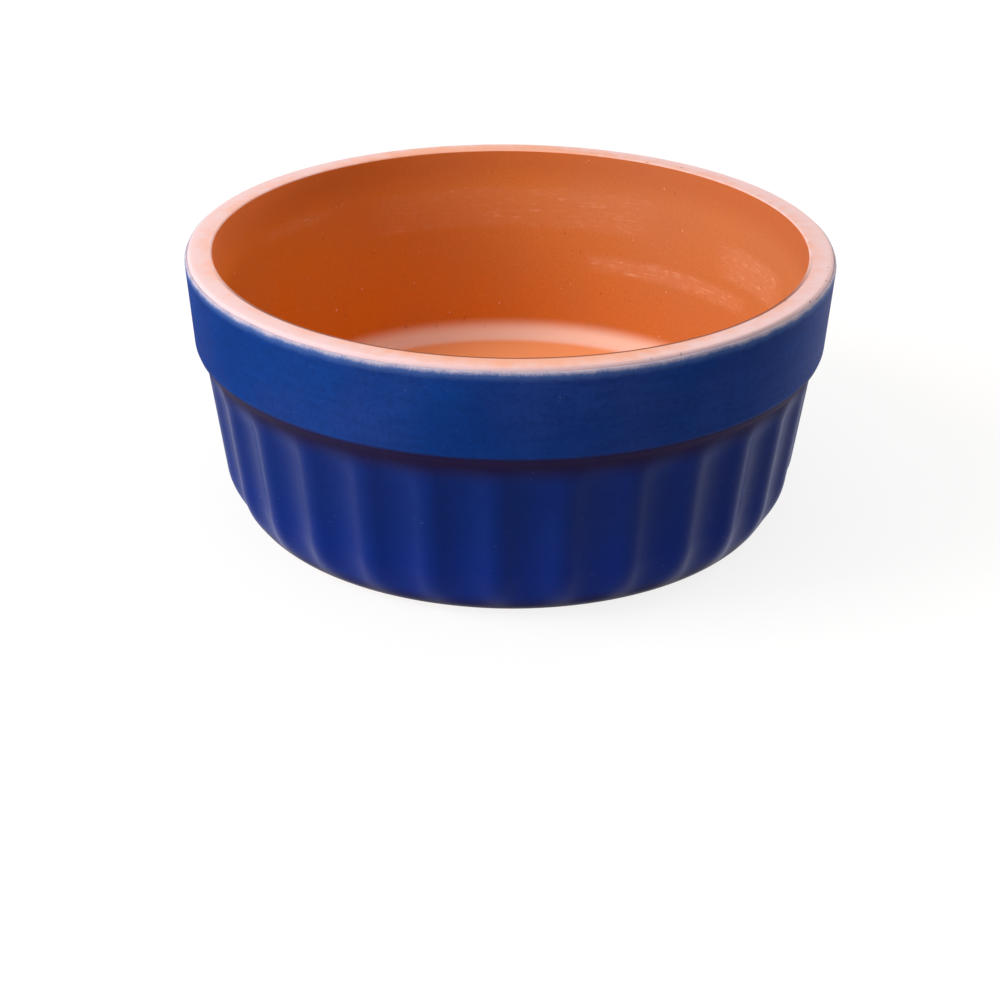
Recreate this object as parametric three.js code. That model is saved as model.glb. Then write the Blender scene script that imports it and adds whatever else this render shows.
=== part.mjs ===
// A round souffle dish of red earthenware: plain collar, fluted wall, blue glaze on the outside.
// Millimetres. The dish stands on z = 0 and its axis is +Z. A flute centre faces -Y.
import * as THREE from 'three';

// Outside of the fired clay
const DISH_HEIGHT = 58.8;
const COLLAR_RADIUS = 69.4; // at the start of the rim's outer rounding
const COLLAR_DRAFT = 3.6; // degrees from upright
const COLLAR_HEIGHT = 19.5; // rim top down to the collar's lower corner
const LIP_ROUND = 1.5;
const LIP_SLOPE = 42; // degrees from upright, the collar's underside
const COVE_ROUND = 4;
const WALL_STEP = 1.5; // wall set back from the collar
const WALL_DRAFT = 7.1; // degrees from upright
const FOOT_ROUND = 20;
const FOOT_ROUND_HEIGHT = 12; // where the wall runs into the foot rounding
const FOOT_RING_WIDTH = 6.5;
const RECESS_DEPTH = 3.5;
const RECESS_DRAFT = 2.5; // how far the recess narrows over its depth

// Rim and inside
const RIM_WIDTH = 5.3; // clay at the rim, from the collar to the inside
const RIM_OUTER_ROUND = 0.8;
const RIM_INNER_ROUND = 0.5;
const INSIDE_DRAFT = 5.6; // degrees from upright
const FLOOR_HEIGHT = 12;
const FLOOR_FILLET = 4;

// Flutes: hollows with rounded ridges between them, running out at the collar and the foot
const FLUTE_COUNT = 30;
const FLUTE_WIDTH = 8.4; // of the hollow, the rest of the pitch being the ridge
const FLUTE_DEPTH = 1.45; // from the ridge's top to the bottom of the hollow
const FLUTE_LOW_END = 2.5; // height of the flutes' lower ends
const FLUTE_LOW_RUN = 7.5; // length over which the lower ends run out
const FLUTE_HIGH_GAP = 2.0; // from the collar's lower corner down to the upper ends
const FLUTE_HIGH_RUN = 8.0; // length over which the upper ends run out

// Glaze: one fired-on coat, from the rim's rounding to just above the ground
const GLAZE_THICKNESS = 0.55;
const GLAZE_FIT = 0.05; // working clearance between coat and clay
const GLAZE_LOW_EDGE = 1.0; // dry foot below this height
const GLAZE_HIGH_ANGLE = 10; // degrees round the rim's outer rounding

const TERRACOTTA = { color: '#d5824f', roughness: 0.82, metalness: 0 };
const BLUE_GLAZE = { color: '#1e3a80', roughness: 0.32, metalness: 0 };

const rad = THREE.MathUtils.degToRad;
const slope = (draft) => Math.tan(rad(draft));

// A level of the outline. Run is how far the flutes have run out there: 0 full, 1 none.
const level = (r, z, run = 1) => ({ r, z, run });

// Levels along an arc, with angles in degrees from +r towards +z
function arcLevels(centre, radius, from, to, steps) {
  return Array.from({ length: steps + 1 }, (_, i) => {
    const angle = rad(from + ((to - from) * i) / steps);
    return level(centre.r + radius * Math.cos(angle), centre.z + radius * Math.sin(angle));
  });
}

// Levels down a bend whose lean from upright turns from one angle to another, in degrees.
// A growing lean bends inwards and a shrinking one back outwards.
function bendLevels(start, radius, from, to, steps) {
  const way = Math.sign(to - from);
  return Array.from({ length: steps + 1 }, (_, i) => {
    const lean = rad(from + ((to - from) * i) / steps);
    const inwards = way * radius * (Math.cos(rad(from)) - Math.cos(lean));
    const down = way * radius * (Math.sin(lean) - Math.sin(rad(from)));
    return level(start.r - inwards, start.z - down);
  });
}

// Where a bend starts above the corner that it rounds
function bendStart(corner, radius, from, to) {
  const tangent = radius * Math.tan(rad(Math.abs(to - from) / 2));
  return level(corner.r + tangent * Math.sin(rad(from)), corner.z + tangent * Math.cos(rad(from)));
}

// Collar: a straight draft between the rim's rounding and the lip
const rimRoundStart = DISH_HEIGHT - RIM_OUTER_ROUND;
const rimRoundCentre = level(COLLAR_RADIUS - RIM_OUTER_ROUND, rimRoundStart);
const collarRadius = (z) => COLLAR_RADIUS - (rimRoundStart - z) * slope(COLLAR_DRAFT);
const lipHeight = DISH_HEIGHT - COLLAR_HEIGHT;
const lipCorner = level(collarRadius(lipHeight), lipHeight);

// Wall: a straight draft, set back under the collar, that turns into the foot rounding
const wallLine = (z) => lipCorner.r - WALL_STEP - (lipHeight - z) * slope(WALL_DRAFT);
const coveHeight = lipHeight - WALL_STEP / (slope(LIP_SLOPE) - slope(WALL_DRAFT));
const coveCorner = level(wallLine(coveHeight), coveHeight);

function wallRadius(z) {
  if (z >= FOOT_ROUND_HEIGHT) return wallLine(z);
  const start = rad(WALL_DRAFT);
  const turned = Math.asin(Math.sin(start) + (FOOT_ROUND_HEIGHT - z) / FOOT_ROUND);
  return wallLine(FOOT_ROUND_HEIGHT) - FOOT_ROUND * (Math.cos(start) - Math.cos(turned));
}

// How far a flute has run out at a height: 0 for a full flute, 1 at its end
function fluteRun(z) {
  const low = (FLUTE_LOW_END + FLUTE_LOW_RUN - z) / FLUTE_LOW_RUN;
  const high = (z - lipHeight + FLUTE_HIGH_GAP + FLUTE_HIGH_RUN) / FLUTE_HIGH_RUN;
  return Math.min(1, Math.max(0, low, high));
}

// Clay outline under the glaze, from the dry foot up to the rim's rounding
function glazedLevels() {
  const wall = [
    GLAZE_LOW_EDGE,
    FLUTE_LOW_END,
    FLUTE_LOW_END + 0.4 * FLUTE_LOW_RUN,
    FLUTE_LOW_END + FLUTE_LOW_RUN,
    FOOT_ROUND_HEIGHT + 1,
    lipHeight - FLUTE_HIGH_GAP - FLUTE_HIGH_RUN,
  ].map((z) => level(wallRadius(z), z));
  const coveStart = bendStart(coveCorner, COVE_ROUND, LIP_SLOPE, WALL_DRAFT);
  const lipStart = bendStart(lipCorner, LIP_ROUND, COLLAR_DRAFT, LIP_SLOPE);
  const cove = bendLevels(coveStart, COVE_ROUND, LIP_SLOPE, WALL_DRAFT, 2).reverse();
  const fluted = [...wall, ...cove].map(({ r, z }) => level(r, z, fluteRun(z)));
  return [
    ...fluted,
    ...bendLevels(lipStart, LIP_ROUND, COLLAR_DRAFT, LIP_SLOPE, 2).reverse(),
    ...arcLevels(rimRoundCentre, RIM_OUTER_ROUND, -COLLAR_DRAFT, GLAZE_HIGH_ANGLE, 2),
  ];
}

// Underside: a dry foot ring round a shallow recess
function undersideLevels() {
  const ringInside = wallRadius(0) - FOOT_RING_WIDTH;
  return [
    level(0, RECESS_DEPTH),
    level(ringInside - RECESS_DRAFT, RECESS_DEPTH),
    level(ringInside, 0),
    level(wallRadius(0), 0),
  ];
}

// Rim top, inside wall, floor fillet and floor
function insideLevels() {
  const insideRadius = COLLAR_RADIUS - RIM_WIDTH;
  const innerRim = level(insideRadius + RIM_INNER_ROUND, DISH_HEIGHT - RIM_INNER_ROUND);
  const filletTop = FLOOR_HEIGHT + FLOOR_FILLET;
  const filletRadius = insideRadius - (innerRim.z - filletTop) * slope(INSIDE_DRAFT);
  const fillet = level(filletRadius - FLOOR_FILLET, filletTop);
  return [
    ...arcLevels(rimRoundCentre, RIM_OUTER_ROUND, GLAZE_HIGH_ANGLE, 90, 1).slice(1),
    ...arcLevels(innerRim, RIM_INNER_ROUND, 90, 180, 2),
    ...arcLevels(fillet, FLOOR_FILLET, 0, -90, 3),
    level(0, FLOOR_HEIGHT),
  ];
}

// Levels moved outwards by a distance, square to the outline
function offsetLevels(levels, distance) {
  return levels.map(({ r, z, run }, i) => {
    const before = levels[Math.max(i - 1, 0)];
    const after = levels[Math.min(i + 1, levels.length - 1)];
    const along = new THREE.Vector2(after.r - before.r, after.z - before.z).normalize();
    return level(r + along.y * distance, z - along.x * distance, run);
  });
}

// Angles of the columns across one flute and one ridge, from the flute's centre
function fluteColumns() {
  const pitch = (2 * Math.PI) / FLUTE_COUNT;
  const half = FLUTE_WIDTH / 2 / wallLine(FOOT_ROUND_HEIGHT);
  return { pitch, half, angles: [0, half / 2, half, pitch / 2, pitch - half, pitch - half / 2] };
}

// Depth pressed in at an angle from the flute's centre: a hollow that turns into a round ridge
function flutePress(fromCentre, half, halfPitch) {
  const hollow = FLUTE_DEPTH * (half / halfPitch);
  const ridge = FLUTE_DEPTH - hollow;
  if (fromCentre < half) return FLUTE_DEPTH - hollow * (fromCentre / half) ** 2;
  return ridge * ((halfPitch - fromCentre) / (halfPitch - half)) ** 2;
}

// Split each four-sided patch along its outer diagonal, so the coat's inside matches the clay
function splitOutwards(turned) {
  const { position } = turned.attributes;
  const radius = (i) => Math.hypot(position.getX(i), position.getY(i));
  const faces = Array.from(turned.index.array);
  for (let i = 0; i < faces.length; i += 6) {
    const [a, b, d, c] = faces.slice(i, i + 4);
    const proud = radius(a) + radius(c) - radius(b) - radius(d);
    if (proud > 1e-6) faces.splice(i, 6, a, b, c, c, d, a);
  }
  turned.setIndex(faces);
}

// Turn levels round the axis and press the flutes into the wall
function turnFluted(levels) {
  const { pitch, half, angles } = fluteColumns();
  const outline = levels.map(({ r, z }) => new THREE.Vector2(r, z));
  const turned = new THREE.LatheGeometry(outline, FLUTE_COUNT * angles.length);
  const corners = turned.attributes.position;
  for (let i = 0; i < corners.count; i += 1) {
    const column = Math.floor(i / levels.length);
    const { r, z, run } = levels[i % levels.length];
    const inPitch = angles[column % angles.length];
    const fromCentre = Math.min(inPitch, pitch - inPitch);
    const press = flutePress(fromCentre, half, pitch / 2) * (1 - run ** 2);
    const angle = Math.floor(column / angles.length) * pitch + inPitch;
    corners.setXYZ(i, (r - press) * Math.sin(angle), -(r - press) * Math.cos(angle), z);
  }
  splitOutwards(turned);
  turned.computeVertexNormals();
  return turned;
}

function terracottaBody() {
  const outline = [...undersideLevels(), ...glazedLevels(), ...insideLevels()];
  const body = new THREE.Mesh(turnFluted(outline), new THREE.MeshStandardMaterial(TERRACOTTA));
  body.name = 'terracotta_body';
  return body;
}

function blueGlaze() {
  const clay = glazedLevels();
  const outer = offsetLevels(clay, GLAZE_FIT + GLAZE_THICKNESS);
  const inner = offsetLevels(clay, GLAZE_FIT).reverse();
  const outline = [...outer, ...inner, outer[0]];
  const glaze = new THREE.Mesh(turnFluted(outline), new THREE.MeshStandardMaterial(BLUE_GLAZE));
  glaze.name = 'blue_glaze';
  return glaze;
}

const souffleDish = new THREE.Group();
souffleDish.name = 'souffle_dish';
souffleDish.add(terracottaBody(), blueGlaze());

export default souffleDish;
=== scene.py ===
"""A fluted souffle dish: bare terracotta inside and on the rim, satin blue glaze on the outside.

Both pieces are surfaces turned round the dish's axis. Shapes are in millimetres until a mesh is
made. Materials and the stage are in metres.
"""

import math

import bpy
import numpy as np
from mathutils import Matrix, Vector


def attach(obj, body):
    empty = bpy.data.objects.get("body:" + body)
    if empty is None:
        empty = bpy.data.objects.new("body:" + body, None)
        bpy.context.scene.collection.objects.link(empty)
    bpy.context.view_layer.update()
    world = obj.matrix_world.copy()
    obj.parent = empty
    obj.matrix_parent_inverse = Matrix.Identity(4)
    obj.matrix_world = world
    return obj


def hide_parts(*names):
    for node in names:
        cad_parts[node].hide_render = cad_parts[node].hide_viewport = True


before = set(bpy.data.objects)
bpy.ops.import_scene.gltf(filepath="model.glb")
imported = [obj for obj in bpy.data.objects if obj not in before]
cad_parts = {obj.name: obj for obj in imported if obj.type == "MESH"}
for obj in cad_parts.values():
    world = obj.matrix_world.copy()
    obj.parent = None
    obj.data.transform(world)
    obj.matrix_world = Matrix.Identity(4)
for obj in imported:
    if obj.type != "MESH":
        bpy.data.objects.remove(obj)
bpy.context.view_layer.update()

MM = 0.001

# Outside of the fired clay
DISH_HEIGHT = 58.8
COLLAR_RADIUS = 69.4  # at the start of the rim's outer rounding
COLLAR_DRAFT = math.radians(3.6)
COLLAR_HEIGHT = 19.5  # rim top down to the collar's lower corner
LIP_ROUND = 1.5
LIP_SLOPE = math.radians(42)  # the collar's underside, from upright
COVE_ROUND = 4.0
WALL_STEP = 1.5  # wall set back from the collar
WALL_DRAFT = math.radians(7.1)
FOOT_ROUND = 20.0
FOOT_ROUND_HEIGHT = 12.0  # where the wall runs into the foot's rounding
FOOT_RING_WIDTH = 6.5
RECESS_DEPTH = 3.5
RECESS_DRAFT = 2.5  # how far the recess narrows over its depth

# Rim and inside
RIM_WIDTH = 5.3
RIM_OUTER_ROUND = 0.8
RIM_INNER_ROUND = 0.5
INSIDE_DRAFT = math.radians(5.6)
FLOOR_HEIGHT = 12.0
FLOOR_FILLET = 4.0

# Flutes round the wall, with rounded ridges between them
FLUTE_COUNT = 30
FLUTE_WIDTH = 8.4
FLUTE_DEPTH = 1.45
FLUTE_LOW_END = 2.5
FLUTE_LOW_RUN = 7.5
FLUTE_HIGH_GAP = 2.0
FLUTE_HIGH_RUN = 8.0

# Glaze coat
GLAZE_THICKNESS = 0.55
GLAZE_FIT = 0.05
GLAZE_LOW_EDGE = 1.0
GLAZE_HIGH_ANGLE = math.radians(10)
GLAZE_FEATHER = 1.0
GLAZE_EDGE_THICKNESS = 0.03
EDGE_WANDER = 0.05
EDGE_WANDER_FADE = 5.0  # depth below the upper edge at which the wandering ends
EDGE_WANDER_WAVES = (2, 40)  # fewest and most waves round the rim
EDGE_WANDER_SEED = 11

# Fineness of the surfaces
OUTLINE_STEP = 0.05
CORNER_SOFTENING = 0.2
CLAY_COLUMNS = FLUTE_COUNT * 12
CLAY_WALL_ROWS = 90
CLAY_RIM_ROWS = 40
CLAY_RIM_LENGTH = 4.0  # outline at the rim that has the finer rows
GLAZE_COLUMNS = FLUTE_COUNT * 20
GLAZE_WALL_ROWS = 110
GLAZE_EDGE_ROWS = 24
GLAZE_EDGE_SHARES = (0.0004, 0.03)  # shares of the coat below its upper edge with finer rows
GLAZE_INNER_ROWS = 28

# Camera, fitted to the rim and foot of the photographed dish
IMAGE_WIDTH = 1000
FOCAL_PIXELS = 2000.0
CAMERA_BACK = 410.43
CAMERA_HEIGHT = 207.42
CAMERA_PAN = -0.0043
CAMERA_TILT = 0.4768
CAMERA_ROLL = 0.009
FLUTE_PHASE = math.radians(4.2)
SENSOR_WIDTH = 36.0


# Outline of the clay


def arc(centre, radius, start, end, count):
    """Points on a circle about a centre, between two angles that run from +r towards +z."""
    angles = np.linspace(start, end, count)
    across = centre[0] + radius * np.cos(angles)
    up = centre[1] + radius * np.sin(angles)
    return np.stack([across, up], axis=1)


def straight(start, end, count):
    """Points evenly spaced between two points."""
    share = np.linspace(0.0, 1.0, count)[:, None]
    return (1 - share) * np.asarray(start) + share * np.asarray(end)


def along(points):
    """Distance along an outline to each of its points."""
    steps = np.hypot(*np.diff(points, axis=0).T)
    return np.concatenate([[0.0], np.cumsum(steps)])


def even(points, step):
    """The same outline with points at an even step."""
    distance = along(points)
    places = np.linspace(0.0, distance[-1], int(round(distance[-1] / step)) + 1)
    return np.stack([np.interp(places, distance, points[:, k]) for k in (0, 1)], axis=1)


def soften(points, reach):
    """An even outline averaged under a bell curve of a given reach, its two ends held in place."""
    half = int(round(3 * reach / OUTLINE_STEP))
    bell = np.exp(-0.5 * (np.arange(-half, half + 1) * OUTLINE_STEP / reach) ** 2)
    bell /= bell.sum()
    padded = np.pad(points, ((half, half), (0, 0)), mode="reflect", reflect_type="odd")
    return np.stack([np.convolve(padded[:, k], bell, mode="valid") for k in (0, 1)], axis=1)


INSIDE_RADIUS = COLLAR_RADIUS - RIM_WIDTH
RIM_ROUND_CENTRE = (COLLAR_RADIUS - RIM_OUTER_ROUND, DISH_HEIGHT - RIM_OUTER_ROUND)
LIP_HEIGHT = DISH_HEIGHT - COLLAR_HEIGHT
LIP_RADIUS = COLLAR_RADIUS - (RIM_ROUND_CENTRE[1] - LIP_HEIGHT) * math.tan(COLLAR_DRAFT)
FLUTE_HIGH_END = LIP_HEIGHT - FLUTE_HIGH_GAP
COVE_HEIGHT = LIP_HEIGHT - WALL_STEP / (math.tan(LIP_SLOPE) - math.tan(WALL_DRAFT))


def bend(corner, radius, start, end, count):
    """Points down a rounded corner whose lean from upright turns from one angle to another.

    The bend starts one tangent length above the corner. A growing lean bends inwards, a shrinking
    one back outwards: inwards by the change of the lean's cosine, down by the change of its sine.
    """
    way = math.copysign(1.0, end - start)
    tangent = radius * math.tan(abs(end - start) / 2)
    lean = np.linspace(start, end, count)
    inwards = way * radius * (math.cos(start) - np.cos(lean))
    down = way * radius * (np.sin(lean) - math.sin(start))
    first = corner[0] + tangent * math.sin(start), corner[1] + tangent * math.cos(start)
    return np.stack([first[0] - inwards, first[1] - down], axis=1)


def wall_radius(height):
    """The wall narrows downwards along a straight draft, then follows the foot's rounding."""
    line = LIP_RADIUS - WALL_STEP - (LIP_HEIGHT - height) * math.tan(WALL_DRAFT)
    below = np.maximum(FOOT_ROUND_HEIGHT - height, 0.0)
    turned = np.arcsin(math.sin(WALL_DRAFT) + below / FOOT_ROUND)
    drawn_in = FOOT_ROUND * (math.cos(WALL_DRAFT) - np.cos(turned))
    return line + below * math.tan(WALL_DRAFT) - drawn_in


def outside_outline():
    """Clay from the edge of the foot up the wall, the cove and the collar, and over the rim."""
    cove_corner = wall_radius(COVE_HEIGHT), COVE_HEIGHT
    lip_corner = LIP_RADIUS, LIP_HEIGHT
    cove = bend(cove_corner, COVE_ROUND, LIP_SLOPE, WALL_DRAFT, count=30)[::-1]
    lip = bend(lip_corner, LIP_ROUND, COLLAR_DRAFT, LIP_SLOPE, count=30)[::-1]
    heights = np.linspace(0.0, cove[0, 1], 300)
    outline = np.vstack([
        np.stack([wall_radius(heights), heights], axis=1)[:-1],
        cove,
        lip,
        arc(RIM_ROUND_CENTRE, RIM_OUTER_ROUND, -COLLAR_DRAFT, math.pi / 2, count=60),
    ])
    return soften(even(outline, OUTLINE_STEP), CORNER_SOFTENING)


def inside_outline():
    """Clay from the rim's flat over its inner rounding, down the inside and across the floor."""
    rim_centre = (INSIDE_RADIUS + RIM_INNER_ROUND, DISH_HEIGHT - RIM_INNER_ROUND)
    fillet_top = FLOOR_HEIGHT + FLOOR_FILLET
    fillet_radius = INSIDE_RADIUS - (rim_centre[1] - fillet_top) * math.tan(INSIDE_DRAFT)
    fillet_centre = (fillet_radius - FLOOR_FILLET, fillet_top)
    flat_start, flat_end = (RIM_ROUND_CENTRE[0], DISH_HEIGHT), (rim_centre[0], DISH_HEIGHT)
    return np.vstack([
        straight(flat_start, flat_end, count=8)[1:],
        arc(rim_centre, RIM_INNER_ROUND, math.pi / 2, math.pi, count=12)[1:],
        arc(fillet_centre, FLOOR_FILLET, 0.0, -math.pi / 2, count=16),
        straight((fillet_centre[0], FLOOR_HEIGHT), (0.0, FLOOR_HEIGHT), count=24)[1:],
    ])


def underside_outline():
    """Clay from the middle of the recess under the dish out to the edge of the foot ring."""
    ring_outside = float(wall_radius(np.array(0.0)))
    ring_inside = ring_outside - FOOT_RING_WIDTH
    recess_edge = (ring_inside - RECESS_DRAFT, RECESS_DEPTH)
    return np.vstack([
        straight((0.0, RECESS_DEPTH), recess_edge, count=16),
        straight(recess_edge, (ring_inside, 0.0), count=5)[1:],
        straight((ring_inside, 0.0), (ring_outside, 0.0), count=6)[1:-1],
    ])


# Flutes

HALF_PITCH = math.pi / FLUTE_COUNT
HALF_FLUTE = FLUTE_WIDTH / 2 / float(wall_radius(np.array(FOOT_ROUND_HEIGHT)))


def flute_across(angle):
    """Angle from the centre of the nearest flute, which is half the pitch on top of a ridge."""
    return np.abs((angle + HALF_PITCH) % (2 * HALF_PITCH) - HALF_PITCH)


def flute_share(height):
    """How much flute there is at a height: one less the square of its run-out at either end."""
    low = (FLUTE_LOW_END + FLUTE_LOW_RUN - height) / FLUTE_LOW_RUN
    high = (height - FLUTE_HIGH_END + FLUTE_HIGH_RUN) / FLUTE_HIGH_RUN
    return 1.0 - np.clip(np.maximum(low, high), 0.0, 1.0) ** 2


def flute_press(angle, height):
    """Depth pressed into the wall: a hollow that turns into a round ridge at the same slope.

    From the flute's centre the depth falls with the square of the angle. Past the hollow's edge
    it falls to nothing with the square of the angle left to the ridge's top.
    """
    across = flute_across(angle)
    hollow = FLUTE_DEPTH * HALF_FLUTE / HALF_PITCH
    ridge = FLUTE_DEPTH - hollow
    in_hollow = FLUTE_DEPTH - hollow * (across / HALF_FLUTE) ** 2
    on_ridge = ridge * ((HALF_PITCH - across) / (HALF_PITCH - HALF_FLUTE)) ** 2
    return np.where(across < HALF_FLUTE, in_hollow, on_ridge) * flute_share(height)


# Meshes


def round_angles(columns):
    """Even angles once round the dish, as one row."""
    return np.arange(columns)[None] * 2 * math.pi / columns


def turned_points(radius, height, angle):
    """Grid points: radius and height carried round the axis, angle 0 facing -Y."""
    x, y, z = radius * np.sin(angle), -radius * np.cos(angle), height + 0 * angle
    return np.stack([x, y, z], axis=-1) * MM


def ring_quads(rows, columns, closed):
    """Four-sided faces of a grid that wraps round, and along its rows too where closed."""
    last = rows if closed else rows - 1
    row, column = np.meshgrid(np.arange(last), np.arange(columns), indexing="ij")
    above, beside = (row + 1) % rows, (column + 1) % columns
    corners = (row, column), (row, beside), (above, beside), (above, column)
    return np.stack([a * columns + b for a, b in corners], axis=-1).reshape(-1, 4)


def pole_fan(pole, floor_highlight, columns, outward):
    """Three-sided faces from a middle point to a ring of points."""
    here = floor_highlight * columns + np.arange(columns)
    beside = floor_highlight * columns + (np.arange(columns) + 1) % columns
    order = (here, beside) if outward else (beside, here)
    return np.stack([np.full(columns, pole), *order], axis=-1)


def make_piece(name, points, faces):
    """A mesh object at the origin with smooth faces."""
    mesh = bpy.data.meshes.new(name)
    mesh.from_pydata(points.tolist(), [], faces)
    mesh.polygons.foreach_set("use_smooth", np.ones(len(mesh.polygons), dtype=bool))
    mesh.update()
    piece = bpy.data.objects.new(name, mesh)
    bpy.context.scene.collection.objects.link(piece)
    return piece


def add_share(piece, name, values):
    """A number on each point of a piece for its material to read."""
    layer = piece.data.attributes.new(name, "FLOAT", "POINT")
    layer.data.foreach_set("value", np.asarray(values, dtype=np.float32).ravel())


def clay_dish():
    """The clay turned in one piece, its wall pressed in at the flutes under the glaze."""
    outside = outside_outline()
    last = len(outside) - 1
    rim_start = len(outside) - int(round(CLAY_RIM_LENGTH / OUTLINE_STEP))
    picks = np.unique(np.concatenate([
        np.linspace(0, last, CLAY_WALL_ROWS),
        np.linspace(rim_start, last, CLAY_RIM_ROWS),
    ]).round().astype(int))
    under, wall, inside = underside_outline(), outside[picks], inside_outline()
    outline = np.vstack([under, wall, inside])
    lengths = [len(under), len(wall), len(inside)]
    fluted = np.repeat([0.0, 1.0, 0.0], lengths)[1:-1, None]
    angle = round_angles(CLAY_COLUMNS)
    radius, height = outline[1:-1, 0, None], outline[1:-1, 1, None]
    grid = turned_points(radius - fluted * flute_press(angle, height), height, angle)
    rows, pole = len(radius), grid[..., 0].size
    poles = np.array([[0, 0, outline[0, 1]], [0, 0, outline[-1, 1]]]) * MM
    points = np.vstack([grid.reshape(-1, 3), poles])
    faces = ring_quads(rows, CLAY_COLUMNS, False).tolist()
    faces += pole_fan(pole, 0, CLAY_COLUMNS, False).tolist()
    faces += pole_fan(pole + 1, rows - 1, CLAY_COLUMNS, True).tolist()
    return make_piece("clay_dish", points, faces)


def edge_wander(angle):
    """How far the glaze's upper edge strays: waves round the rim with fixed random phases."""
    draw = np.random.default_rng(EDGE_WANDER_SEED)
    waves = np.arange(*EDGE_WANDER_WAVES)
    phases = draw.uniform(0, 2 * math.pi, len(waves))
    sizes = draw.normal(0, 1, len(waves)) / np.sqrt(waves)
    stray = (sizes[:, None] * np.sin(waves[:, None] * angle + phases[:, None])).sum(axis=0)
    return EDGE_WANDER * stray / stray.std()


def glaze_coat():
    """The coat follows the clay at an even thickness that feathers out at its two edges.

    Outwards from the clay it stands by the fit and a thickness. Near an edge the thickness follows
    a quarter circle of the distance to that edge.
    """
    clay = outside_outline()
    distance = along(clay)
    slope = np.gradient(clay, distance, axis=0)
    angle = round_angles(GLAZE_COLUMNS)
    low = np.interp(GLAZE_LOW_EDGE, clay[:, 1], distance)
    high = distance[-1] - RIM_OUTER_ROUND * (math.pi / 2 - GLAZE_HIGH_ANGLE)

    def places(share):
        """Distances along the clay for shares from the low edge to the wandering high edge."""
        reach = low + (high - low) * share[:, None]
        fade = np.clip(1 - (high - reach) / EDGE_WANDER_FADE, 0, 1)
        return reach + edge_wander(angle[0])[None] * fade

    def coat(place, thickness):
        """Points of the coat at distances along the clay, out by the fit and a thickness."""
        radius, height = (np.interp(place, distance, clay[:, k]) for k in (0, 1))
        rise, spread = (np.interp(place, distance, slope[:, k]) for k in (1, 0))
        out = GLAZE_FIT + thickness
        radius_out = radius - flute_press(angle, height) + rise * out
        return turned_points(radius_out, height - spread * out, angle)

    near_edge = 1 - np.geomspace(*GLAZE_EDGE_SHARES, GLAZE_EDGE_ROWS)
    shares = np.concatenate([np.linspace(0, 1, GLAZE_WALL_ROWS), near_edge])
    outer_place = places(np.unique(shares))
    to_edge = np.minimum(outer_place - outer_place[:1], outer_place[-1:] - outer_place)
    near = 1 - np.clip(to_edge / GLAZE_FEATHER, 0, 1)
    swell = (GLAZE_THICKNESS - GLAZE_EDGE_THICKNESS) * np.sqrt(1 - near ** 2)
    inner_place = places(np.linspace(1, 0, GLAZE_INNER_ROWS))
    outer = coat(outer_place, GLAZE_EDGE_THICKNESS + swell)
    grid = np.concatenate([outer, coat(inner_place, 0.0)])
    faces = ring_quads(len(grid), GLAZE_COLUMNS, True).tolist()
    piece = make_piece("glaze_coat", grid.reshape(-1, 3), faces)

    place = np.concatenate([outer_place, inner_place])
    add_share(piece, "below_edge", outer_place[-1:] - place)
    return piece


# Material nodes


def colour(red, green, blue):
    """A colour written as 0 to 255 screen values, as the linear values that a shader takes."""
    screen = np.array([red, green, blue]) / 255
    linear = np.where(screen <= 0.04045, screen / 12.92, ((screen + 0.055) / 1.055) ** 2.4)
    return (*linear.tolist(), 1.0)


def new_material(name):
    """An empty node material with its shader and output."""
    material = bpy.data.materials.new(name)
    material.use_nodes = True
    tree = material.node_tree
    tree.nodes.clear()
    shader = tree.nodes.new("ShaderNodeBsdfPrincipled")
    output = tree.nodes.new("ShaderNodeOutputMaterial")
    tree.links.new(shader.outputs[0], output.inputs["Surface"])
    return material, tree, shader


def put(tree, socket, value):
    """Link a socket to another, or set its value."""
    if isinstance(value, bpy.types.NodeSocket):
        tree.links.new(value, socket)
    else:
        socket.default_value = value


def node(tree, kind, inputs, **settings):
    """A node with its settings and inputs; inputs are named or numbered."""
    made = tree.nodes.new(kind)
    for key, value in settings.items():
        setattr(made, key, value)
    for key, value in inputs.items():
        put(tree, made.inputs[key], value)
    return made


def math_node(tree, operation, first, second=0.0):
    """One operation on one or two values."""
    return node(tree, "ShaderNodeMath", {0: first, 1: second}, operation=operation).outputs[0]


def chain(tree, operation, first, *others):
    """One operation carried through a row of values."""
    for other in others:
        first = math_node(tree, operation, first, other)
    return first


def times(tree, *values):
    """Values multiplied together."""
    return chain(tree, "MULTIPLY", *values)


def plus(tree, *values):
    """Values added together."""
    return chain(tree, "ADD", *values)


def largest(tree, *values):
    """The largest of some values."""
    return chain(tree, "MAXIMUM", *values)


def span(tree, value, low, high, to_low=0.0, to_high=1.0):
    """A value eased from one range to another."""
    inputs = {0: value, 1: low, 2: high, 3: to_low, 4: to_high}
    return node(tree, "ShaderNodeMapRange", inputs, interpolation_type="SMOOTHSTEP").outputs[0]


def between(tree, value, low, high, ease):
    """One where a value lies between two limits, eased to nothing outside them."""
    rise = span(tree, value, low - ease, low + ease)
    return times(tree, rise, span(tree, value, high + ease, high - ease))


def tint(tree, share, first, second):
    """Two colours mixed by a share. The node's colours are its inputs 6 and 7 and its output 2."""
    inputs = {0: share, 6: first, 7: second}
    return node(tree, "ShaderNodeMix", inputs, data_type="RGBA").outputs[2]


def stained(tree, base, where, screen, strength=1.0):
    """A colour stained with another, given as screen values, at a strength where a share says."""
    return tint(tree, times(tree, where, strength), base, colour(*screen))


def noise(tree, place, scale, detail=4.0, roughness=0.55):
    """Cloudy noise from about 0 to 1."""
    inputs = {"Vector": place, "Scale": scale, "Detail": detail, "Roughness": roughness}
    return node(tree, "ShaderNodeTexNoise", inputs).outputs["Fac"]


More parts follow.
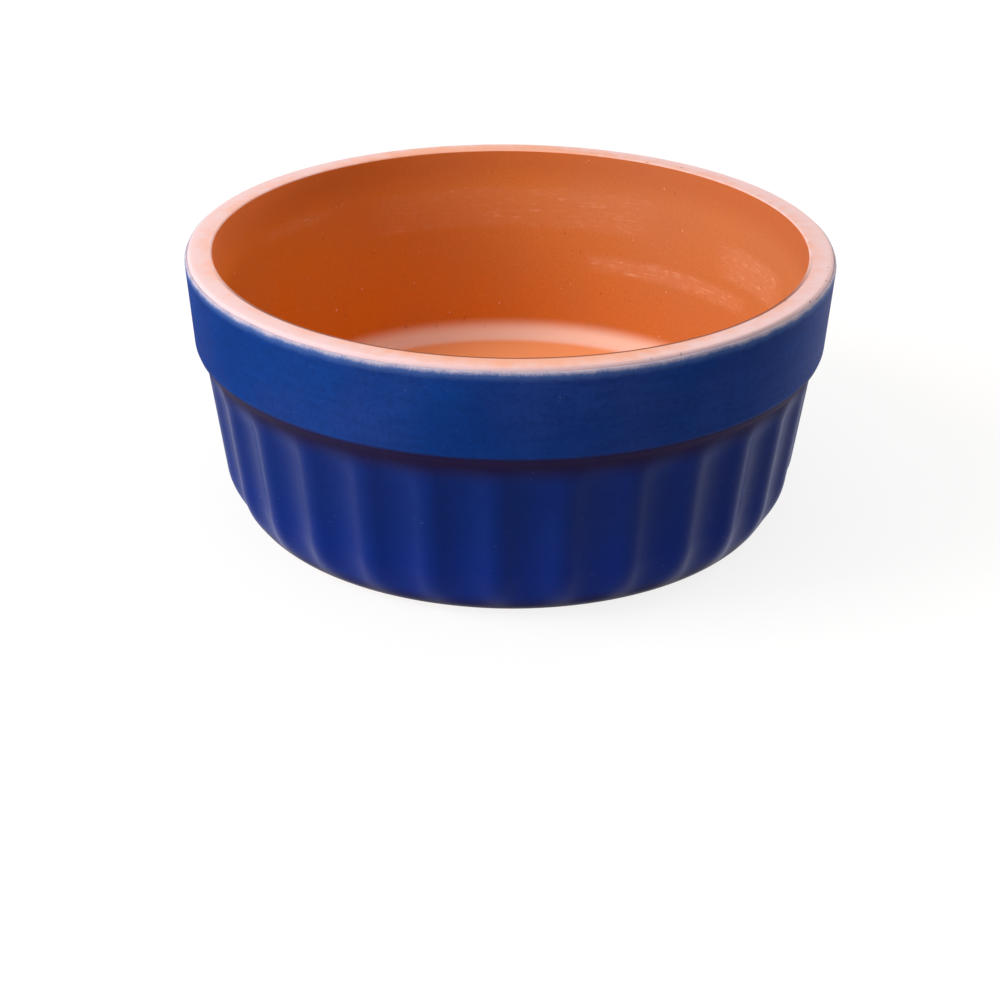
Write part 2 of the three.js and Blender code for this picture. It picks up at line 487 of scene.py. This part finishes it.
def patches(tree, place, scale, low=0.3, high=0.7, detail=4.0, roughness=0.55, **ends):
    """Noise eased between two of its values, so that it lies in patches."""
    return span(tree, noise(tree, place, scale, detail, roughness), low, high, **ends)


def share_of(tree, name):
    """The number that a piece carries on its points under a name."""
    return node(tree, "ShaderNodeAttribute", {}, attribute_name=name).outputs["Fac"]


def object_place(tree):
    """A point of the piece, whole and as its three axes."""
    place = node(tree, "ShaderNodeTexCoord", {}).outputs["Object"]
    axes = node(tree, "ShaderNodeSeparateXYZ", {0: place}).outputs
    return place, axes


def from_origin(tree, place):
    """Distance of a point from the origin."""
    return node(tree, "ShaderNodeVectorMath", {0: place}, operation="LENGTH").outputs["Value"]


def drawn_round(tree, axes, flatness):
    """Coordinates in which noise stretches into streaks that run round the dish."""
    x, y, z = axes
    flat = {0: times(tree, x, flatness), 1: times(tree, y, flatness), 2: z}
    return node(tree, "ShaderNodeCombineXYZ", flat).outputs[0]


def roughen(tree, shader, height, strength, distance):
    """Fine unevenness of a surface from a height."""
    inputs = {"Strength": strength, "Distance": distance, "Height": height}
    bump = node(tree, "ShaderNodeBump", inputs)
    put(tree, shader.inputs["Normal"], bump.outputs[0])


# Bare clay

# Screen colours
CLAY_DEEP = (232, 130, 18)
# Paler clay tone, which also carries painted light on the side that faces the light
CLAY_BLUSH_AND_LIT = (207, 127, 77)
CLAY_GRAIN = (178, 88, 36)
CLAY_NEAR_RIM = (184, 86, 36)
CLAY_WORN = (232, 162, 124)
CLAY_SCUFF = (252, 200, 166)
CLAY_FLOOR = (250, 168, 110)
CLAY_FLOOR_RING_HIGHLIGHT = (255, 212, 193)
CLAY_SPECK = (250, 205, 175)
CLAY_SOOT = (130, 58, 26)
RIM_PEACH = (249, 180, 152)
RIM_PINK_AND_SHEEN = (247, 212, 212)
RIM_OUTER_EDGE = (218, 190, 198)
RIM_SOOT = (112, 84, 96)
RIM_INNER_SHADE_LINE = (126, 54, 26)

# Where each colour starts and is full: across the dish, upwards, or outwards from the axis
LIT_SIDE_ACROSS = (-0.055, 0.062)
BLUSH_UP = (0.014, 0.050)
NEAR_RIM_UP = (0.0485, 0.0560)
FLOOR_DOWN = (0.0130, 0.0122)
FLOOR_HIGHLIGHT_OUT = (0.0540, 0.0575)
FLOOR_HIGHLIGHT_DOWN = (0.0170, 0.0132)
RIM_UP = (0.0566, 0.0574)
RIM_OUT = (0.0643, 0.0648)
RIM_FLAT_UP = (0.05845, 0.0586)
RIM_PINK_OUT = (0.0645, 0.0692)
RIM_SHEEN_TO_SIDES = (0.008, 0.046)
RIM_OUTER_EDGE_OUT = (0.0686, 0.0693)
RIM_SOOT_ACROSS = (0.0, 0.04)
RIM_INNER_SHADE_IN = (0.0652, 0.0648)
RIM_INNER_SHADE_UP = (0.0575, 0.0581)
RIM_INNER_SHADE_FRONT = (-0.010, -0.040)

# Rubbed patches inside: first and last turn in degrees from the back, low and high edge in
# millimetres, strength
SCUFFS = (
    (-26, 36, 40.0, 49.5, 0.5),
    (24, 66, 30.2, 34.0, 1.0),
    (59, 80, 37.0, 45.0, 1.0),
    (-60, -40, 47.0, 49.5, 0.55),
)
SCUFF_EASE_ROUND = 5.0
SCUFF_EASE_UP = 1.2


def rubbed(tree, axes):
    """How worn the inside wall is: the strongest of the rubbed patches at a turn and a height."""
    x, y, z = axes
    turn = math_node(tree, "DEGREES", math_node(tree, "ARCTAN2", x, y))
    worn = 0.0
    for first, last, low, high, strength in SCUFFS:
        round_patch = between(tree, turn, first, last, SCUFF_EASE_ROUND)
        up_patch = between(tree, z, low * MM, high * MM, SCUFF_EASE_UP * MM)
        worn = largest(tree, times(tree, round_patch, up_patch, strength), worn)
    return worn


def rim_clay(tree, place, x, out, dust):
    """Colour of the rim: peach, pinker outwards and in patches, with a painted sheen that pales it
    towards its left and right sides, and dark specks.
    """
    across_rim = span(tree, out, *RIM_PINK_OUT, to_high=0.5)
    # Painted sheen: the rim paler and pinker towards its left and right sides
    sheen_to_sides = span(tree, math_node(tree, "ABSOLUTE", x), *RIM_SHEEN_TO_SIDES, to_high=0.6)
    powder = patches(tree, place, scale=300.0, to_low=-0.2, to_high=0.2)
    pink_and_sheen = span(tree, plus(tree, across_rim, sheen_to_sides, powder), 0.0, 1.1)
    rim = tint(tree, pink_and_sheen, colour(*RIM_PEACH), colour(*RIM_PINK_AND_SHEEN))
    rim = stained(tree, rim, span(tree, out, *RIM_OUTER_EDGE_OUT), RIM_OUTER_EDGE, 0.75)
    soot = times(tree, span(tree, dust, 0.275, 0.245), span(tree, x, *RIM_SOOT_ACROSS))
    return stained(tree, rim, soot, RIM_SOOT, 0.7)


def terracotta():
    """Bare fired clay: deep orange, pale on the rim and round the floor, scuffed inside. Light is
    painted in too: paler on the lit side, a painted highlight round the floor, a painted sheen
    towards the rim's sides and painted shade along the rim's front inner edge.
    """
    material, tree, shader = new_material("terracotta")
    place, axes = object_place(tree)
    x, y, z = axes
    out = from_origin(tree, node(tree, "ShaderNodeCombineXYZ", {0: x, 1: y, 2: 0.0}).outputs[0])

    mottle = patches(tree, place, scale=46.0)
    # Painted light: paler towards +x, on the inside wall that faces the light; also paler upwards
    # and in patches
    lit_side = span(tree, x, *LIT_SIDE_ACROSS, to_high=0.7)
    upwards = span(tree, z, *BLUSH_UP, to_low=-0.1, to_high=0.2)
    blush_and_lit_side = plus(tree, lit_side, upwards, times(tree, mottle, 0.2))
    body = tint(tree, blush_and_lit_side, colour(*CLAY_DEEP), colour(*CLAY_BLUSH_AND_LIT))
    grain = noise(tree, place, scale=2300.0, detail=3.0, roughness=0.65)
    body = stained(tree, body, span(tree, grain, 0.38, 0.70), CLAY_GRAIN, 0.24)
    body = stained(tree, body, span(tree, z, *NEAR_RIM_UP), CLAY_NEAR_RIM, 0.4)

    worn = rubbed(tree, axes)
    round_place = drawn_round(tree, axes, flatness=0.08)
    streaks = patches(tree, round_place, 2100.0, low=0.48, high=0.72, detail=5.0, roughness=0.75)
    breaks = patches(tree, place, 420.0, low=0.42, high=0.64, detail=5.0, roughness=0.75)
    scuffs = times(tree, streaks, breaks, worn)
    body = stained(tree, body, worn, CLAY_WORN, 0.24)
    body = stained(tree, body, scuffs, CLAY_SCUFF, 0.95)

    body = stained(tree, body, span(tree, z, *FLOOR_DOWN), CLAY_FLOOR)
    # Painted highlight: a pale ring where the floor meets its fillet
    floor_highlight = times(tree, span(tree, out, *FLOOR_HIGHLIGHT_OUT), span(tree, z, *FLOOR_HIGHLIGHT_DOWN))
    body = stained(tree, body, floor_highlight, CLAY_FLOOR_RING_HIGHLIGHT)

    dust = noise(tree, place, scale=800.0, detail=1.0)
    body = stained(tree, body, span(tree, dust, 0.765, 0.80), CLAY_SPECK, 0.6)
    body = stained(tree, body, span(tree, dust, 0.235, 0.205), CLAY_SOOT, 0.4)

    upper_side = times(tree, span(tree, z, *RIM_UP), span(tree, out, *RIM_OUT))
    on_rim = largest(tree, upper_side, span(tree, z, *RIM_FLAT_UP))
    body = tint(tree, on_rim, body, rim_clay(tree, place, x, out, dust))
    # Painted shade: a dark line along the rim's inner edge, at the front of the dish only
    inner_in = span(tree, out, *RIM_INNER_SHADE_IN)
    inner_up = span(tree, z, *RIM_INNER_SHADE_UP)
    in_front = span(tree, y, *RIM_INNER_SHADE_FRONT)
    body = stained(tree, body, times(tree, inner_in, inner_up, in_front), RIM_INNER_SHADE_LINE, 0.9)
    put(tree, shader.inputs["Base Color"], body)

    put(tree, shader.inputs["Roughness"], span(tree, mottle, 0.0, 1.0, to_low=0.84, to_high=0.74))
    shader.inputs["Specular IOR Level"].default_value = 0.3
    height = plus(tree, times(tree, grain, 0.5), times(tree, scuffs, 0.8))
    roughen(tree, shader, height, strength=0.25, distance=0.00012)
    return material


# Blue glaze

# Screen colours
GLAZE_DEEP = (2, 47, 119)
GLAZE_BRIGHT = (4, 55, 131)
GLAZE_CLOUD = (52, 60, 126)
GLAZE_BRUSHED = (3, 38, 102)
GLAZE_FLECK = (2, 32, 90)
GLAZE_WALL = (4, 29, 103)
GLAZE_LOW_WALL = (7, 38, 124)
GLAZE_THIN_AND_SHADE_UNDER_COLLAR = (30, 2, 32)
GLAZE_THIN_AND_SHADE_AT_FOOT = (28, 8, 44)
GLAZE_THIN = (84, 114, 170)
GLAZE_BROKEN = (214, 198, 206)
GLAZE_PIN = (90, 104, 150)

# Where each change starts and is full: across the dish, upwards or downwards
WALL_DOWN = (0.0375, 0.0330)
LOW_WALL_DOWN = (0.026, 0.006)
UNDER_COLLAR_UP = (0.0320, 0.0372)
UNDER_COLLAR_DOWN = (0.0400, 0.0391)
FOOT_DOWN = (0.0050, 0.0014)
MATT_COLLAR_UP = (0.0385, 0.0405)
MATT_SIDE_ACROSS = (-0.040, -0.064)

# Distances in millimetres below the upper edge at which a change starts and is full
THIN_BELOW_EDGE = (2.4, 0.0)
BROKEN_BELOW_EDGE = (0.9, -0.2)
MATT_BELOW_EDGE = (2.0, 0.4)


def blue_glaze():
    """Satin cobalt glaze: pale where it breaks at its upper edge, dark brown under the collar and
    at the foot where it runs thin, deepened there with painted shade.
    """
    material, tree, shader = new_material("blue_glaze")
    place, axes = object_place(tree)
    x, _, z = axes
    below_edge = share_of(tree, "below_edge")

    drift = patches(tree, place, scale=60.0, low=0.32, high=0.68, detail=5.0)
    coat = tint(tree, drift, colour(*GLAZE_DEEP), colour(*GLAZE_BRIGHT))
    cloud = patches(tree, place, scale=24.0, low=0.42, high=0.66, detail=3.0)
    coat = stained(tree, coat, cloud, GLAZE_CLOUD, 0.3)
    round_place = drawn_round(tree, axes, flatness=0.15)
    brush = patches(tree, round_place, scale=700.0, low=0.42, high=0.70, roughness=0.6)
    coat = stained(tree, coat, brush, GLAZE_BRUSHED, 0.3)
    fleck = patches(tree, place, scale=900.0, low=0.46, high=0.66, roughness=0.7)
    coat = stained(tree, coat, fleck, GLAZE_FLECK, 0.3)

    coat = stained(tree, coat, span(tree, z, *WALL_DOWN), GLAZE_WALL, 0.7)
    coat = stained(tree, coat, span(tree, z, *LOW_WALL_DOWN), GLAZE_LOW_WALL, 0.85)
    # Partly thin glaze over the red clay, partly painted shade: a dark wine band on the cove under
    # the collar
    collar_above = span(tree, z, *UNDER_COLLAR_DOWN)
    under_collar = times(tree, span(tree, z, *UNDER_COLLAR_UP), collar_above)
    coat = stained(tree, coat, under_collar, GLAZE_THIN_AND_SHADE_UNDER_COLLAR, 0.85)
    # Partly thin glaze over the red clay, partly painted contact shade: darker wine towards the
    # foot
    coat = stained(tree, coat, span(tree, z, *FOOT_DOWN), GLAZE_THIN_AND_SHADE_AT_FOOT, 0.8)

    grit = patches(tree, place, 2600.0, detail=2.0, roughness=0.6, to_low=-0.12, to_high=0.12)
    uneven = patches(tree, place, 260.0, detail=3.0, to_low=-0.15, to_high=0.15)
    ragged_edge = plus(tree, below_edge, grit, uneven)
    coat = stained(tree, coat, span(tree, ragged_edge, *THIN_BELOW_EDGE), GLAZE_THIN, 0.75)
    coat = stained(tree, coat, span(tree, ragged_edge, *BROKEN_BELOW_EDGE), GLAZE_BROKEN, 0.8)
    pins = patches(tree, place, scale=1000.0, low=0.765, high=0.80, detail=1.0)
    coat = stained(tree, coat, pins, GLAZE_PIN, 0.3)
    put(tree, shader.inputs["Base Color"], coat)

    satin = patches(tree, place, scale=240.0, to_low=0.32, to_high=0.35)
    matt_edge = span(tree, below_edge, *MATT_BELOW_EDGE, to_high=0.35)
    matt_collar = span(tree, z, *MATT_COLLAR_UP, to_high=0.28)
    more_at_side = span(tree, x, *MATT_SIDE_ACROSS, to_low=1.0, to_high=1.8)
    matt_side = times(tree, more_at_side, matt_collar)
    matt_cove = times(tree, under_collar, 0.3)
    matt = largest(tree, matt_side, matt_cove, matt_edge)
    put(tree, shader.inputs["Roughness"], plus(tree, satin, matt))
    shader.inputs["Specular IOR Level"].default_value = 0.07
    height = noise(tree, place, scale=90.0, detail=2.0, roughness=0.5)
    roughen(tree, shader, height, strength=0.16, distance=0.0004)
    return material


# Dress the dish

clay = clay_dish()
clay.data.materials.append(terracotta())
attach(clay, "root")
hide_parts("terracotta_body")

glaze = glaze_coat()
glaze.data.materials.append(blue_glaze())
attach(glaze, "root")
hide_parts("blue_glaze")


# Stage: floor, light and camera

WHITE = (1.0, 1.0, 1.0, 1.0)
FLOOR_REACH = 3.0  # from the middle to each side of the floor
FLOOR_PALE = (206, 204, 202)
FLOOR_PALER = (212, 210, 208)
FLOOR_SEEN = (128, 128, 128)
FLOOR_LIFT_AWAY = (0.3, 1.5)
FLOOR_LIFT = (0.82, 1.0)  # near the dish and far from it
WORLD_LIGHT = 0.16
WORLD_SEEN = 1.0
LAMP_AIM = (0.0, 0.0, 0.03)

# Name, place, side, power in watts and tone of each lamp
LAMPS = (
    ("key_lamp", (-0.78, -0.14, 0.72), 0.5, 6.8, (1.0, 0.97, 0.94)),
    ("top_lamp", (0.1, 0.15, 1.2), 1.5, 6.1, (1.0, 0.97, 0.94)),
    ("front_lamp", (-0.1, -0.78, 0.5), 0.6, 0.6, (1.0, 0.98, 0.97)),
    ("left_panel", (-0.58, -0.34, 0.10), 0.35, 2.5, (1.0, 0.97, 0.95)),
    ("right_fill", (0.62, -0.22, 0.24), 0.35, 0.35, (1.0, 0.92, 0.84)),
    ("right_panel", (0.52, 0.42, 0.08), 0.16, 2.2, (1.0, 0.80, 0.62)),
)


def seen_directly(tree):
    """One for rays from the camera, reflections and clear pieces, which show the background."""
    rays = node(tree, "ShaderNodeLightPath", {}).outputs
    kinds = ("Is Camera Ray", "Is Glossy Ray", "Is Transmission Ray")
    return largest(tree, *(rays[kind] for kind in kinds))


def floor_material():
    """Plain pale floor, lifted to white where it is seen, which still takes the dish's shadow."""
    material, tree, shader = new_material("studio_floor")
    place, _ = object_place(tree)
    seen = seen_directly(tree)
    shade = patches(tree, place, scale=3.0)
    plain = tint(tree, shade, colour(*FLOOR_PALE), colour(*FLOOR_PALER))
    put(tree, shader.inputs["Base Color"], tint(tree, seen, plain, colour(*FLOOR_SEEN)))
    shader.inputs["Roughness"].default_value = 0.9
    shader.inputs["Specular IOR Level"].default_value = 0.1
    shader.inputs["Emission Color"].default_value = WHITE
    lift = span(tree, from_origin(tree, place), *FLOOR_LIFT_AWAY, *FLOOR_LIFT)
    put(tree, shader.inputs["Emission Strength"], times(tree, seen, lift))
    return material


def studio_floor():
    """A flat square of floor under the dish."""
    corners = np.array([[-1, -1, 0], [1, -1, 0], [1, 1, 0], [-1, 1, 0]]) * FLOOR_REACH
    floor = make_piece("studio_floor", corners, [[0, 1, 2, 3]])
    floor.data.materials.append(floor_material())


def studio_world():
    """Even soft light all round, white where it is seen past the floor."""
    world = bpy.data.worlds.new("studio_world")
    bpy.context.scene.world = world
    world.use_nodes = True
    tree = world.node_tree
    background = tree.nodes["Background"]
    background.inputs["Color"].default_value = WHITE
    strength = span(tree, seen_directly(tree), 0.0, 1.0, WORLD_LIGHT, WORLD_SEEN)
    put(tree, background.inputs["Strength"], strength)


def soft_box(name, place, side, power, tone):
    """A square soft lamp aimed at the middle of the dish."""
    lamp = bpy.data.lights.new(name, "AREA")
    lamp.shape = "SQUARE"
    lamp.size = side
    lamp.energy = power
    lamp.color = tone
    stand = bpy.data.objects.new(name, lamp)
    aim = Vector(LAMP_AIM) - Vector(place)
    stand.rotation_euler = aim.to_track_quat("-Z", "Y").to_euler()
    stand.location = place
    bpy.context.scene.collection.objects.link(stand)


def photograph_camera():
    """The camera in front of the dish, turned so the flutes fall where the photograph has them."""
    pan, tilt, roll = CAMERA_PAN, CAMERA_TILT, CAMERA_ROLL
    ahead = math.cos(tilt)
    forward = Vector((math.sin(pan) * ahead, math.cos(pan) * ahead, -math.sin(tilt)))
    level_right = Vector((math.cos(pan), -math.sin(pan), 0.0))
    level_up = level_right.cross(forward)
    right = math.cos(roll) * level_right + math.sin(roll) * level_up
    up = math.cos(roll) * level_up - math.sin(roll) * level_right
    turn = Matrix.Rotation(-FLUTE_PHASE, 4, "Z")
    stand = Matrix.Identity(4)
    for column, axis in enumerate((right, up, -forward)):
        stand.col[column][:3] = axis
    stand.col[3][:3] = Vector((0.0, -CAMERA_BACK, CAMERA_HEIGHT)) * MM
    lens = bpy.data.cameras.new("photograph_camera")
    lens.sensor_fit = "HORIZONTAL"
    lens.sensor_width = SENSOR_WIDTH
    lens.lens = SENSOR_WIDTH * FOCAL_PIXELS / IMAGE_WIDTH
    camera = bpy.data.objects.new("photograph_camera", lens)
    camera.matrix_world = turn @ stand
    bpy.context.scene.collection.objects.link(camera)
    bpy.context.scene.camera = camera


studio_floor()
studio_world()
for lamp_values in LAMPS:
    soft_box(*lamp_values)
photograph_camera()

bpy.context.scene.view_settings.view_transform = "Standard"
